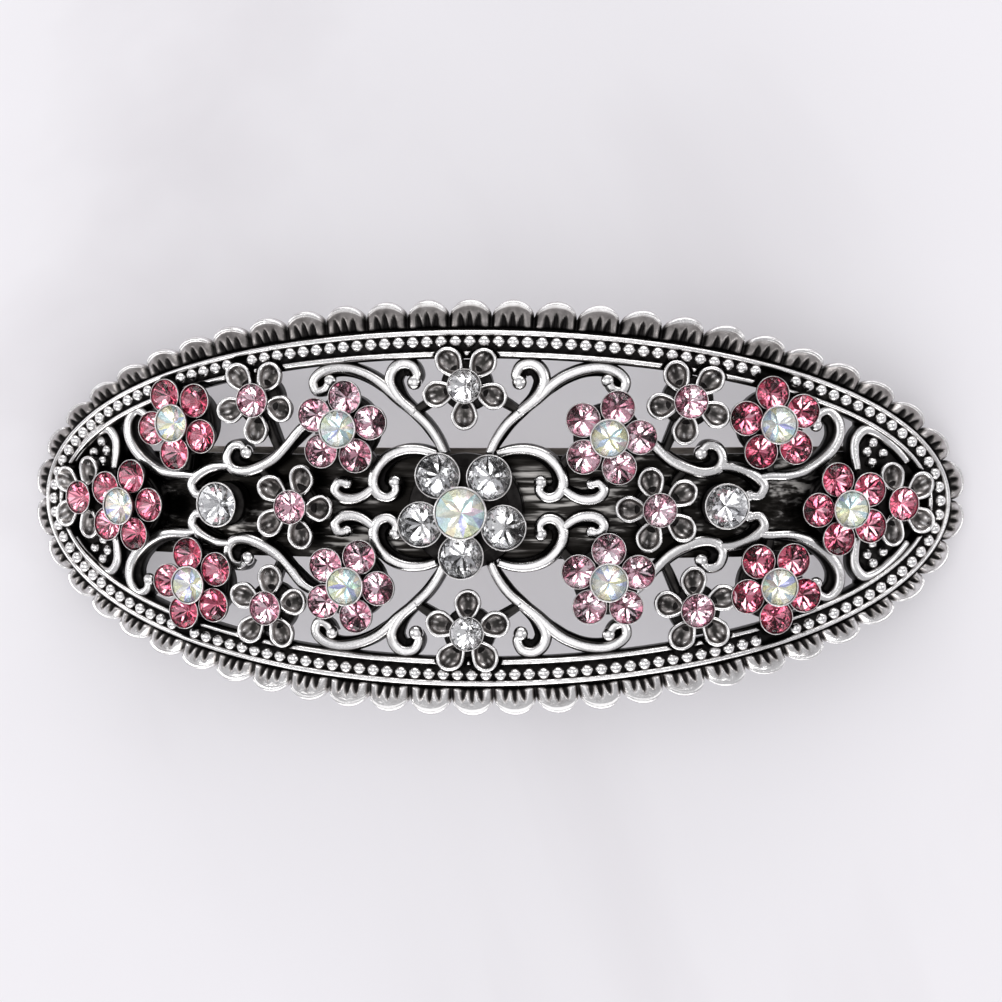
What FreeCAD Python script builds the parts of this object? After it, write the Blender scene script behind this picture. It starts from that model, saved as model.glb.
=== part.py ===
import FreeCAD, Part
import math
import os
from FreeCAD import Vector, Rotation, Placement

os.makedirs("parts", exist_ok=True)

# ---------------------------------------------------------------- driving dimensions (mm)
BEND_R = 77.0        # radius of the ornament's face, bent about a line along Y
APEX_Z = 17.6        # height of the face's crown line above the table
CAST_T = 1.4         # thickness of the casting
N_SCALLOP = 54       # shell scallops round the edge
N_BEAD = 152         # beads between the rails
TIP = (50.4, 19.9)   # half-lengths of the oval through the scallop tips
ROOT = (48.6, 18.1)   # oval through the notches between scallops
RAIL_OUT = (48.05, 16.9)
BEAD_ROW = (47.15, 16.0)
RAIL_IN = (46.0, 14.85)
PANEL = (45.6, 14.4)   # oval where the scroll panel meets the border
RAIL_W = 0.5
RAIL_H = 0.6
BEAD_R = 0.5
SCROLL_HW = 0.48     # half-width of a scroll bar
SCROLL_U0 = -0.4     # mirror line of the scroll pattern
RING_SMALL = 3.0     # petal ring of the small rosettes
RING_CENTRE = 4.25   # petal ring of the centre rosette
FLOWER_RING = 2.6
FIT = 0.02           # clearance round a stone or a rivet

BASE_T = 0.8         # clip base plate
BASE_HW = 5.0
BASE_ANGLE = 31.2    # degrees from the middle to either end
PIN = (-37.2, 2.2)   # hinge pin centre, X and Z
PIN_R = 0.9
PIN_PLAY = 0.05
BARREL_R = 1.6
ARM_R = 131.2        # clamp arm, outer radius
ARM_TOP_Z = 8.0
ARM_T = 0.8
ARM_HW = 5.3
ARM_END_X = 40.6
LEAF_R = 106.8       # tension bar, outer radius
LEAF_TOP_Z = 13.2
LEAF_T = 0.4
LEAF_HW = 3.0
PRONG_X = (35.2, 37.8)
PRONG_Y = (2.2, 3.0)
PRONG_PIVOT_Z = 3.8
WINDOW_X = (34.6, 38.6)
WINDOW_HW = 3.2

AXIS_Z = APEX_Z - BEND_R


# ---------------------------------------------------------------- helpers
def at(u, v, w=0.0):
    """Point u along the bend, v across, w above the face."""
    a = u / BEND_R
    return Vector((BEND_R + w) * math.sin(a), v, AXIS_Z + (BEND_R + w) * math.cos(a))


def plan(u, v):
    """The same point dropped straight down onto the working plane."""
    return Vector(BEND_R * math.sin(u / BEND_R), v, -10.0)


def seat_on_face(shape, u, v, turn=0.0, w=0.0):
    placed = shape.copy()
    tilt = Rotation(Vector(0, 1, 0), math.degrees(u / BEND_R))
    placed.Placement = Placement(at(u, v, w), tilt.multiply(Rotation(Vector(0, 0, 1), turn)))
    return placed


def sector(r_in, r_out, angle_a, angle_b, y_a, y_b, centre_z=AXIS_Z):
    """Curved sheet between two radii; angles in degrees from straight up, +X side positive."""
    def p(r, deg):
        a = math.radians(deg)
        return Vector(r * math.sin(a), y_a, centre_z + r * math.cos(a))
    mid = 0.5 * (angle_a + angle_b)
    outer = Part.Arc(p(r_out, angle_a), p(r_out, mid), p(r_out, angle_b)).toShape()
    inner = Part.Arc(p(r_in, angle_b), p(r_in, mid), p(r_in, angle_a)).toShape()
    side_b = Part.makeLine(p(r_out, angle_b), p(r_in, angle_b))
    side_a = Part.makeLine(p(r_in, angle_a), p(r_out, angle_a))
    face = Part.Face(Part.Wire([outer, side_b, inner, side_a]))
    return face.extrude(Vector(0, y_b - y_a, 0))


def shell(w_in, w_out):
    return sector(BEND_R + w_in, BEND_R + w_out, -52, 52, -30, 30)


def oval(axes, extra=0.0):
    """Closed oval in eight smooth pieces."""
    a = axes[0] + extra
    b = axes[1] + extra

    def p(t):
        return plan(a * math.cos(t), b * math.sin(t))

    edges = []
    for k in range(8):
        t0 = math.pi * k / 4
        t1 = math.pi * (k + 1) / 4 if k < 7 else 0.0
        pts = [p(t0 + math.pi / 4 * i / 6) for i in range(6)] + [p(t1)]
        curve = Part.BSplineCurve()
        curve.interpolate(Points=pts, InitialTangent=p(t0 + 1e-4) - p(t0 - 1e-4),
                          FinalTangent=p(t1 + 1e-4) - p(t1 - 1e-4))
        edges.append(curve.toShape())
    return Part.Wire(edges)


def oval_face(axes, extra=0.0):
    return Part.Face(oval(axes, extra))


def upright(face):
    return face.extrude(Vector(0, 0, 60))


def revolve(profile):
    pts = [Vector(r, 0, z) for r, z in profile]
    wire = Part.makePolygon(pts + [pts[0]])
    return Part.Face(wire).revolve(Vector(0, 0, 0), Vector(0, 0, 1), 360)


def prism_xz(points, y_a, y_b):
    pts = [Vector(x, y_a, z) for x, z in points]
    return Part.Face(Part.makePolygon(pts + [pts[0]])).extrude(Vector(0, y_b - y_a, 0))


def rod_y(x, z, radius, y_a, y_b):
    return Part.makeCylinder(radius, y_b - y_a, Vector(x, y_a, z), Vector(0, 1, 0))


def save(name, shape):
    solids = [s for s in shape.Solids if s.Volume > 1e-4]
    result = solids[0] if len(solids) == 1 else Part.makeCompound(solids)
    result.exportStep("parts/" + name + ".step")
    return result


# ---------------------------------------------------------------- stones and their cups
# radius, foot radius, floor, girdle, lip and table heights above the face
SMALL = dict(r=1.55, foot=0.9, floor=0.35, girdle=1.3, top=1.9, wall=0.13)
RAISED = dict(r=1.65, foot=1.2, floor=1.5, girdle=2.45, top=3.0, wall=0.23)
LARGE = dict(r=2.05, foot=1.2, floor=0.45, girdle=1.65, top=2.35, wall=0.17)
CROWN = dict(r=2.3, foot=1.6, floor=1.9, girdle=3.05, top=3.8, wall=0.28)
COLLET = dict(r=1.98, foot=1.4, floor=0.35, girdle=1.45, top=2.1, wall=0.24)


def stone(s):
    r = s["r"]
    return revolve([(0, s["floor"]), (0.45 * r, s["floor"]), (r, s["girdle"]), (r, s["girdle"] + 0.15),
                    (0.6 * r, s["top"]), (0, s["top"])])


def cup(s):
    r = s["r"] + FIT
    out = s["r"] + s["wall"]
    shoulder = s["girdle"] - 0.1
    lip = s["girdle"] + 0.2
    knee = max(0.0, s["floor"] - 0.3)
    profile = [(0, -0.6), (s["foot"], -0.6)]
    if knee > 0.5:
        profile.append((s["foot"], knee))
    profile += [(out, shoulder), (out, lip), (r, lip), (r, s["girdle"])]
    profile += [(0.45 * s["r"] + FIT, s["floor"]), (0, s["floor"])]
    return revolve(profile)


def cup_envelope(s):
    out = s["r"] + s["wall"] + FIT
    foot = s["foot"] + FIT
    shoulder = s["girdle"] - 0.1
    knee = max(0.0, s["floor"] - 0.3)
    flare = 0.0 if knee > 0.5 else (out - foot) * 0.3 / (shoulder + 0.6)
    profile = [(0, -0.3), (foot + flare, -0.3)]
    if knee > 0.5:
        profile.append((foot, knee))
    return revolve(profile + [(out, shoulder), (out, s["top"]), (0, s["top"])])


def petal_dish():
    return revolve([(0, -0.6), (0.8, -0.6), (1.3, 0.45), (1.3, 0.75), (1.05, 0.75), (0.75, 0.35), (0, 0.35)])


def petal_envelope():
    return revolve([(0, -0.3), (0.96, -0.3), (1.32, 0.45), (1.32, 0.8), (0, 0.8)])


def web_envelope(radius):
    return Part.makeCylinder(radius + FIT, 0.65, Vector(0, 0, -0.3))


def round_the_ring(shape, ring, turns=range(5)):
    out = []
    for k in turns:
        a = math.radians(72 * k)
        item = shape.copy()
        item.translate(Vector(ring * math.cos(a), ring * math.sin(a), 0))
        out.append(item)
    return out


def rosette(petal, middle, ring):
    web = Part.makeCylinder(ring, 0.9, Vector(0, 0, -0.6))
    hollow = [stone_pocket(petal, ring, k) for k in range(5)]
    body = cup(middle).multiFuse(round_the_ring(cup(petal), ring) + [web])
    return body.cut(Part.makeCompound(hollow + [stone_space(middle)])).removeSplitter()


def stone_space(s):
    r = s["r"] + FIT
    return revolve([(0, s["floor"]), (0.45 * s["r"] + FIT, s["floor"]), (r, s["girdle"]),
                    (r, s["top"] + 0.1), (0, s["top"] + 0.1)])


def stone_pocket(s, ring, k):
    a = math.radians(72 * k)
    item = stone_space(s)
    item.translate(Vector(ring * math.cos(a), ring * math.sin(a), 0))
    return item


def flower(turns=range(5)):
    web = Part.makeCylinder(FLOWER_RING - 0.3, 0.9, Vector(0, 0, -0.6))
    body = cup(SMALL).multiFuse(round_the_ring(petal_dish(), FLOWER_RING, turns) + [web])
    return body.cut(stone_space(SMALL)).removeSplitter()


# name, u, v, turn of the first petal
DARK = [("nw", -29.9, 8.0, 47), ("sw", -28.2, -7.8, 31), ("ne", 29.2, 7.9, 24), ("se", 29.2, -7.7, 54)]
LIGHT = [("nw", -12.4, 7.7, 11), ("sw", -11.8, -7.5, 68), ("ne", 13.2, 6.8, 1), ("se", 13.1, -7.0, 17)]
ENDS = [("w", -36.3, -0.3, 3), ("e", 36.4, -0.4, 37)]
CENTRE = (-0.6, -0.3, 52)
PINK_FLOWERS = [("nw", -21.6, 10.3, 56), ("sw", -20.4, -9.9, 13), ("ne", 21.0, 10.2, 45),
                ("se", 21.6, -9.9, 24), ("w", -17.7, 0.0, -2), ("e", 18.0, -0.2, 34)]
CLEAR_FLOWERS = [("n", -0.4, 11.8, 52), ("s", -0.3, -12.0, 18)]
END_FLOWERS = [("w", -42.5, 0.3, 0, (1, 2, 3, 4)), ("e", 42.4, -0.1, 36, (0, 1, 3, 4))]
COLLETS = [("w", -25.5, 0.1), ("e", 24.4, 0.1)]

face_cut = sector(BEND_R - 6, BEND_R, -52, 52, -30, 30)
small_rosette = rosette(SMALL, RAISED, RING_SMALL)
envelopes = []
settings = {}
raised_stones = []
petal_stones = {}

for family, group in (("dark", DARK), ("light", LIGHT), ("end", ENDS)):
    for name, u, v, turn in group:
        key = family + "_" + name
        settings["rosette_" + key] = seat_on_face(small_rosette, u, v, turn).cut(face_cut)
        ring = round_the_ring(stone(SMALL), RING_SMALL)
        petal_stones["stones_" + key] = [seat_on_face(Part.makeCompound([s]), u, v, turn) for s in ring]
        raised_stones.append(seat_on_face(stone(RAISED), u, v))
        hull = Part.makeCompound(round_the_ring(cup_envelope(SMALL), RING_SMALL) + [web_envelope(RING_SMALL)])
        envelopes.append((u, v, 4.8, seat_on_face(hull, u, v, turn)))

u, v, turn = CENTRE
settings["rosette_centre"] = seat_on_face(rosette(LARGE, CROWN, RING_CENTRE), u, v, turn).cut(face_cut)
ring = round_the_ring(stone(LARGE), RING_CENTRE)
petal_stones["stones_centre_petals"] = [seat_on_face(Part.makeCompound([s]), u, v, turn) for s in ring]
save("stone_centre_iridescent", seat_on_face(stone(CROWN), u, v))
save("stones_small_iridescent", Part.makeCompound(raised_stones))
for key, shapes in petal_stones.items():
    save(key, Part.makeCompound(shapes))

five_petals = flower()
cluster_hulls = [e for e in envelopes]
for family, group in (("pink", PINK_FLOWERS), ("clear", CLEAR_FLOWERS)):
    for name, u, v, turn in group:
        body = seat_on_face(five_petals, u, v, turn).cut(face_cut)
        for cu, cv, reach, hull in cluster_hulls:
            if math.hypot(cu - u, cv - v) < reach + 4.0:
                body = body.cut(hull)
        settings["flower_" + family + "_" + name] = body
        ring = round_the_ring(petal_envelope(), FLOWER_RING)
        hull = Part.makeCompound(ring + [web_envelope(FLOWER_RING - 0.3)])
        envelopes.append((u, v, 4.0, seat_on_face(hull, u, v, turn)))
    save("stones_" + family + "_flowers",
         Part.makeCompound([seat_on_face(stone(SMALL), u, v) for name, u, v, turn in group]))

for name, u, v, turn, turns in END_FLOWERS:
    body = seat_on_face(flower(turns), u, v, turn).cut(face_cut)
    for cu, cv, reach, hull in cluster_hulls:
        if math.hypot(cu - u, cv - v) < reach + 4.0:
            body = body.cut(hull)
    settings["flower_end_" + name] = body
    hull = Part.makeCompound(round_the_ring(petal_envelope(), FLOWER_RING, turns) + [cup_envelope(SMALL)])
    envelopes.append((u, v, 4.0, seat_on_face(hull, u, v, turn)))
save("stones_end_flowers", Part.makeCompound([seat_on_face(stone(SMALL), e[1], e[2]) for e in END_FLOWERS]))

for name, u, v in COLLETS:
    settings["collet_" + name] = seat_on_face(cup(COLLET), u, v).cut(face_cut)
save("stones_collets", Part.makeCompound([seat_on_face(stone(COLLET), u, v) for name, u, v in COLLETS]))

for key, shape in settings.items():
    save(key, shape)


# ---------------------------------------------------------------- border
def edge_point(axes, k):
    a, b = axes
    return plan(a * math.cos(k), b * math.sin(k))


def even_angles(axes, count):
    """Angles that divide an oval into equal lengths, starting on the +X axis."""
    steps = 4000
    lengths = [0.0]
    for i in range(steps):
        t = 2 * math.pi * (i + 0.5) / steps
        lengths.append(lengths[-1] + math.hypot(axes[0] * math.sin(t), axes[1] * math.cos(t)))
    out = []
    j = 0
    for i in range(count):
        target = lengths[-1] * i / count
        while lengths[j + 1] < target:
            j += 1
        part = (target - lengths[j]) / (lengths[j + 1] - lengths[j])
        out.append(2 * math.pi * (j + part) / steps)
    return out


marks = even_angles(ROOT, 2 * N_SCALLOP)
arcs = []
for i in range(N_SCALLOP):
    start = edge_point(ROOT, marks[2 * i])
    crest = edge_point(TIP, marks[2 * i + 1])
    end = edge_point(ROOT, marks[(2 * i + 2) % (2 * N_SCALLOP)])
    arcs.append(Part.Arc(start, crest, end).toShape())
outline = Part.Face(Part.Wire(arcs))
band = upright(outline.cut(oval_face(PANEL))).common(shell(-CAST_T, 0.1))


def rail(axes):
    ring = oval_face(axes, RAIL_W / 2).cut(oval_face(axes, -RAIL_W / 2))
    return upright(ring).common(shell(-0.3, RAIL_H))


border = band.multiFuse([rail(RAIL_OUT), rail(RAIL_IN)])
near_border = [e[3] for e in envelopes if (abs(e[0]) / 41.0) ** 2 + (abs(e[1]) / 10.0) ** 2 > 0.8]
for hull in near_border:
    border = border.cut(hull)
save("border", border.removeSplitter())

petal_spots = []
for family, group in (("dark", DARK), ("light", LIGHT), ("end", ENDS)):
    for name, u, v, turn in group:
        for k in range(5):
            a = math.radians(turn + 72 * k)
            petal_spots.append((u + RING_SMALL * math.cos(a), v + RING_SMALL * math.sin(a), 1.5))
for name, u, v, turn in PINK_FLOWERS + CLEAR_FLOWERS + [e[:4] for e in END_FLOWERS]:
    for k in range(5):
        a = math.radians(turn + 72 * k)
        petal_spots.append((u + FLOWER_RING * math.cos(a), v + FLOWER_RING * math.sin(a), 1.35))
beads = []
for k in even_angles(BEAD_ROW, N_BEAD):
    u = BEAD_ROW[0] * math.cos(k)
    v = BEAD_ROW[1] * math.sin(k)
    if all(math.hypot(u - pu, v - pv) > reach + BEAD_R for pu, pv, reach in petal_spots):
        dome = Part.makeSphere(BEAD_R, Vector(0, 0, 0), Vector(0, 0, 1), 0, 90, 360)
        beads.append(seat_on_face(dome, u, v, 0, 0.1))
save("bead_row", Part.makeCompound(beads))


# ---------------------------------------------------------------- scroll panel
# centre lines of one quarter of the pattern: distance from the mirror line, distance across
SCROLLS = {
    "arch": [(2.2, 5.2), (2.9, 6.7), (4.0, 8.2), (5.5, 9.5), (6.9, 10.6), (8.1, 11.7), (9.4, 12.6),
             (11.2, 13.3), (13.0, 13.5), (14.4, 13.1), (15.3, 12.2), (15.0, 11.2), (14.1, 11.4), (13.6, 12.2)],
    "arch_curl": [(5.0, 9.2), (6.6, 10.5), (7.5, 12.0), (7.3, 13.2), (6.4, 13.9), (5.3, 13.7), (4.8, 12.8),
                  (5.1, 12.1)],
    "wing": [(3.0, 5.2), (4.4, 5.6), (6.1, 5.6), (7.7, 5.0), (8.9, 3.8), (9.3, 2.4), (8.8, 1.3), (7.8, 1.0),
             (7.0, 1.6), (7.1, 2.5)],
    "small_curl": [(9.3, 1.9), (10.2, 1.2), (11.3, 0.8), (12.5, 0.9), (13.2, 1.6), (12.8, 2.4), (12.0, 2.3)],
    "s_scroll": [(14.2, 8.6), (16.4, 7.8), (18.0, 6.1), (19.4, 4.7), (21.0, 3.8), (22.7, 3.3), (24.1, 3.5),
                 (24.8, 4.5), (24.3, 5.7), (23.2, 5.9), (22.6, 5.2)],
    "s_link": [(21.2, 3.7), (20.4, 2.8), (19.8, 2.0)],
    "hug": [(24.4, 3.8), (25.6, 3.8), (26.9, 3.5), (28.2, 2.8), (28.9, 1.9), (28.4, 1.0), (27.4, 1.0)],
    "long_c": [(28.4, 2.8), (29.6, 2.9), (31.2, 2.9), (32.8, 3.2), (34.4, 4.0), (35.8, 5.2), (36.6, 6.6),
               (36.5, 8.1), (35.5, 9.1), (34.4, 8.7), (34.2, 7.7)],
    "end_link": [(34.6, 4.2), (35.4, 3.4), (36.2, 2.6)],
    "corner_tie": [(21.1, 10.0), (21.3, 11.6), (21.5, 13.2)],
    "corner_foot": [(20.8, 9.6), (20.0, 7.4), (19.0, 5.2)],
    "crown_tie": [(0.6, 12.2), (0.8, 13.4), (0.9, 14.5)],
    "crown_foot": [(1.6, 11.2), (3.2, 10.5), (5.0, 9.4)],
    "dark_foot": [(29.2, 6.0), (29.4, 4.4), (29.6, 2.9)],
    "dark_tie": [(29.4, 8.6), (29.9, 9.8), (30.4, 11.0)],
    "light_foot": [(11.4, 6.4), (9.8, 4.8), (8.9, 3.8)],
    "light_tie": [(12.4, 8.8), (11.8, 11.2), (11.3, 13.2)],
    "leaf": [(38.5, 3.2), (38.2, 4.8), (38.3, 6.2), (39.3, 7.2), (40.8, 6.8), (42.6, 5.4), (44.0, 3.9)],
}
BALLS = {"arch": 0.6, "arch_curl": 0.65, "wing": 0.6, "small_curl": 0.5, "s_scroll": 0.65, "hug": 0.55,
         "long_c": 0.6}
PANEL_BRIDGES = [(9.8, 13.5, 0.9)]
LEAF_BEADS = [(40.3, 5.9), (41.4, 4.8), (39.6, 5.0), (40.2, 3.9)]
LEAF_BEAD_R = 0.5
FLOOR_U = 38.6       # beyond this distance the panel has a solid floor
FLOOR_W = -0.55


def strip(points, half_width):
    line = Part.BSplineCurve()
    line.interpolate(Points=[Vector(u, v, 0) for u, v in points])
    n = 3 * (len(points) - 1)
    left = []
    right = []
    for i in range(n + 1):
        t = line.FirstParameter + (line.LastParameter - line.FirstParameter) * i / n
        p = line.value(t)
        d = line.tangent(t)[0]
        left.append(plan(p.x - d.y * half_width, p.y + d.x * half_width))
        right.append(plan(p.x + d.y * half_width, p.y - d.x * half_width))
    right.reverse()
    side_a = Part.BSplineCurve()
    side_a.interpolate(Points=left)
    side_b = Part.BSplineCurve()
    side_b.interpolate(Points=right)
    cap_a = Part.makeLine(left[-1], right[0])
    cap_b = Part.makeLine(right[-1], left[0])
    return Part.Face(Part.Wire([side_a.toShape(), cap_a, side_b.toShape(), cap_b]))


def disc(u, v, radius):
    return Part.Face(Part.Wire([Part.makeCircle(radius, plan(u, v))]))


quarters = [(1, 1), (1, -1), (-1, 1), (-1, -1)]
flat = []
for su, sv in quarters:
    for name, pts in SCROLLS.items():
        line = [(SCROLL_U0 + su * p, sv * q) for p, q in pts]
        flat.append(strip(line, SCROLL_HW))
        flat.append(disc(line[0][0], line[0][1], SCROLL_HW))
        flat.append(disc(line[-1][0], line[-1][1], BALLS.get(name, SCROLL_HW)))
    for p, q, r in PANEL_BRIDGES:
        flat.append(disc(SCROLL_U0 + su * p, sv * q, r))
for name, u, v, turn in DARK + LIGHT + ENDS:
    flat.append(disc(u, v, 3.4))
for name, u, v, turn in PINK_FLOWERS + CLEAR_FLOWERS:
    flat.append(disc(u, v, 2.7))
for name, u, v, turn, turns in END_FLOWERS:
    flat.append(disc(u, v, 2.7))
for name, u, v in COLLETS:
    flat.append(disc(u, v, 2.3))
flat.append(disc(CENTRE[0], CENTRE[1], 5.7))
joined = Part.makeShell(flat[0].multiFuse(flat[1:]).Faces).removeSplitter()
panel_face = joined.common(oval_face(PANEL))
panel = upright(panel_face).common(shell(-CAST_T, 0.0))

west = plan(SCROLL_U0 - FLOOR_U, 0).x
east = plan(SCROLL_U0 + FLOOR_U, 0).x
middle = Part.makePlane(east - west, 60, Vector(west, -30, -10))
end_floor = upright(oval_face(PANEL).cut(middle)).common(shell(-CAST_T, FLOOR_W))
panel = panel.multiFuse([end_floor]).removeSplitter()
save("scroll_panel", panel)

beads = []
for su, sv in quarters:
    for p, q in LEAF_BEADS:
        dome = Part.makeSphere(LEAF_BEAD_R, Vector(0, 0, 0), Vector(0, 0, 1), 0, 90, 360)
        beads.append(seat_on_face(dome, SCROLL_U0 + su * p, sv * q, 0, FLOOR_W))
save("leaf_beads", Part.makeCompound(beads))


# ---------------------------------------------------------------- clip: base, pin, tension bar
base_out = BEND_R - CAST_T
base_in = base_out - BASE_T
base = sector(base_in, base_out, -BASE_ANGLE, BASE_ANGLE, -BASE_HW, BASE_HW)
for y in (-2.4, 2.4):
    groove = sector(base_out - 0.3, base_out + 1, -BASE_ANGLE + 3, BASE_ANGLE - 3, y - 0.5, y + 0.5)
    base = base.cut(groove)
ear = [(-39.0, 4.9), (-39.7, 2.4), (-39.2, 0.0), (-35.2, 0.0), (-34.4, 5.0), (-33.4, 7.9)]
ears = [prism_xz(ear, BASE_HW - BASE_T, BASE_HW), prism_xz(ear, -BASE_HW, -BASE_HW + BASE_T)]
base = base.multiFuse(ears)
base = base.cut(rod_y(PIN[0], PIN[1], PIN_R + FIT, -8, 8))

RIVETS = [(-29.5, 0.0, "leaf"), (29.5, 0.0, "leaf"), (33.3, 1.6, "bracket"), (33.3, -1.6, "bracket")]
leaf_cz = LEAF_TOP_Z - LEAF_R
leaf_angle = math.degrees(math.asin(31.0 / LEAF_R))
leaf = sector(LEAF_R - LEAF_T, LEAF_R, -leaf_angle, leaf_angle, -LEAF_HW, LEAF_HW, leaf_cz)
a0 = math.degrees(math.asin(31.7 / base_in))
a1 = math.degrees(math.asin(38.2 / base_in))
bracket = sector(base_in - 0.6, base_in, a0, a1, -3.3, 3.3)
tab = [(PRONG_X[0], 6.4), (PRONG_X[0], 4.25), (PRONG_X[1], 4.25), (PRONG_X[1], 4.9)]
bracket = bracket.multiFuse([prism_xz(tab, PRONG_Y[0], PRONG_Y[1]), prism_xz(tab, -PRONG_Y[1], -PRONG_Y[0])])

keep_below_casting = sector(60, base_out, -50, 50, -20, 20)
rivets = []
for x, y, kind in RIVETS:
    angle = math.degrees(math.asin(x / base_in))
    under = base_in - 0.62 if kind == "bracket" else None
    if kind == "leaf":
        z = leaf_cz + math.sqrt((LEAF_R - LEAF_T) ** 2 - x * x)
        under = math.hypot(x, z - AXIS_Z)
    tilt = Rotation(Vector(0, 1, 0), angle)
    foot = Vector(under * math.sin(math.radians(angle)), y, AXIS_Z + under * math.cos(math.radians(angle)))
    drop = 0.16 if kind == "leaf" else 0.0
    shank = Part.makeCylinder(0.7, 4.0 + drop, Vector(0, 0, -0.3 - drop))
    bore = Part.makeCylinder(0.7 + FIT, 5.0, Vector(0, 0, -1.0))
    head = Part.makeCylinder(1.15, 0.35, Vector(0, 0, -0.4 - drop))
    rivet = shank.fuse(head)
    for item in (rivet, bore):
        item.Placement = Placement(foot, tilt)
    rivets.append(rivet.common(keep_below_casting))
    base = base.cut(bore)
    if kind == "leaf":
        leaf = leaf.cut(bore)
    else:
        bracket = bracket.cut(bore)
save("base_plate", base)
save("tension_bar", leaf)
save("catch_bracket", bracket)
save("rivets", Part.makeCompound(rivets))

pin = rod_y(PIN[0], PIN[1], PIN_R, -5.4, 5.4)
for y in (-5.4, BASE_HW):
    pin = pin.fuse(rod_y(PIN[0], PIN[1], 1.3, y, y + 0.4))
save("hinge_pin", pin.removeSplitter())

# ---------------------------------------------------------------- clip: clamp arm
arm_cz = ARM_TOP_Z - ARM_R
arm_sheet = sector(ARM_R - ARM_T, ARM_R, -25, 25, -10, 10, arm_cz)
neck = BASE_HW - BASE_T - 0.2
arm_plan = [(PIN[0], -neck), (-33.2, -neck), (-31.4, -ARM_HW), (ARM_END_X - 1.6, -ARM_HW), (ARM_END_X, -3.7),
            (ARM_END_X, 3.7), (ARM_END_X - 1.6, ARM_HW), (-31.4, ARM_HW), (-33.2, neck), (PIN[0], neck)]
arm_face = Part.Face(Part.makePolygon([Vector(x, y, -10) for x, y in arm_plan + [arm_plan[0]]]))
window = Part.makePlane(WINDOW_X[1] - WINDOW_X[0], 2 * WINDOW_HW, Vector(WINDOW_X[0], -WINDOW_HW, -10))
arm = upright(arm_face.cut(window)).common(arm_sheet)
arm = arm.fuse(rod_y(PIN[0], PIN[1], BARREL_R, -neck, neck))
arm = arm.cut(rod_y(PIN[0], PIN[1], PIN_R + PIN_PLAY, -8, 8)).removeSplitter()
save("clamp_arm", arm)

# ---------------------------------------------------------------- clip: squeeze prongs
half_t = (PRONG_Y[1] - PRONG_Y[0]) / 2
mid_y = (PRONG_Y[1] + PRONG_Y[0]) / 2
width = PRONG_X[1] - PRONG_X[0]
below_arm = sector(ARM_R - ARM_T - 0.12, ARM_R + 12, 5, 25, -10, 10, arm_cz)
blade = Part.makeBox(width, 2 * half_t, PRONG_PIVOT_Z, Vector(PRONG_X[0], PRONG_Y[0], 0))
knuckle = Part.makeCylinder(half_t, width, Vector(PRONG_X[0], mid_y, PRONG_PIVOT_Z), Vector(1, 0, 0))
barb_yz = [(2.8, 2.6), (3.7, 2.6), (3.7, 1.3), (3.1, 0.0), (2.8, 0.0)]
barb_pts = [Vector(PRONG_X[0], y, z) for y, z in barb_yz]
barb = Part.Face(Part.makePolygon(barb_pts + [barb_pts[0]])).extrude(Vector(width, 0, 0)).cut(below_arm)
prong = blade.multiFuse([knuckle, barb]).removeSplitter()
save("prong_back", prong)
save("prong_front", prong.mirror(Vector(0, 0, 0), Vector(0, 1, 0)))
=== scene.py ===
import bmesh
import bpy
import math
import random
from mathutils import Matrix, Vector


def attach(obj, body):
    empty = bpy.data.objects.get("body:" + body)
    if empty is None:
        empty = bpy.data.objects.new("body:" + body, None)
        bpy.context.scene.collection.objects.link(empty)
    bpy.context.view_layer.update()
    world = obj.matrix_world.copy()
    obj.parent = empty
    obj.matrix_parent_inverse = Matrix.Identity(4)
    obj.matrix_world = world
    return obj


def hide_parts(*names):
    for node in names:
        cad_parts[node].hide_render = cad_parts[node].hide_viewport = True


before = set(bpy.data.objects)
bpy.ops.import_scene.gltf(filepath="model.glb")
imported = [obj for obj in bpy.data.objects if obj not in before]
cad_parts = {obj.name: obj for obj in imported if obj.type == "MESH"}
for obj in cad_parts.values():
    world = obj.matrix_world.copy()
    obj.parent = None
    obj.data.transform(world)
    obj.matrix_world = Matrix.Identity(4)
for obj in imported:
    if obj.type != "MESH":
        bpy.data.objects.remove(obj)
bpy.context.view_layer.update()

# ------------------------------------------------------------------ shared dimensions (mm)
MM = 0.001            # one millimetre in metres
BEND_R = 77.0         # radius of the ornament's face, bent about a line along Y
APEX_Z = 17.6         # height of the face's crown line
AXIS_Z = APEX_Z - BEND_R
BACK = -1.4           # underside of the casting, below its face
N_SCALLOP = 54
N_BEAD = 152
# half-lengths of the ovals, from the scallops' tips inwards
TIP = (50.6, 20.1)
ROOT = (48.6, 18.1)
RAIL_OUT = (48.05, 16.9)
BEAD_ROW = (47.2, 16.05)
RAIL_IN = (46.0, 14.85)
PANEL = (45.6, 14.4)
SCROLL_U0 = -0.4      # mirror line of the scroll pattern
RING_SMALL = 3.0      # petal rings of the rosettes and the flowers
RING_CENTRE = 4.25
FLOWER_RING = 2.6
PETALS = 5
PETAL_STEP = 360 // PETALS

# stones and cups: radius, foot radius, floor, girdle and table heights, wall of the cup
SMALL = dict(r=1.55, foot=0.9, floor=0.35, girdle=1.3, top=1.9, wall=0.13)
RAISED = dict(r=1.65, foot=1.2, floor=1.5, girdle=2.45, top=3.0, wall=0.23)
LARGE = dict(r=2.05, foot=1.2, floor=0.45, girdle=1.65, top=2.35, wall=0.17)
CROWN = dict(r=2.3, foot=1.6, floor=1.9, girdle=3.05, top=3.8, wall=0.28)
COLLET = dict(r=1.98, foot=1.4, floor=0.35, girdle=1.45, top=2.1, wall=0.24)

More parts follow.
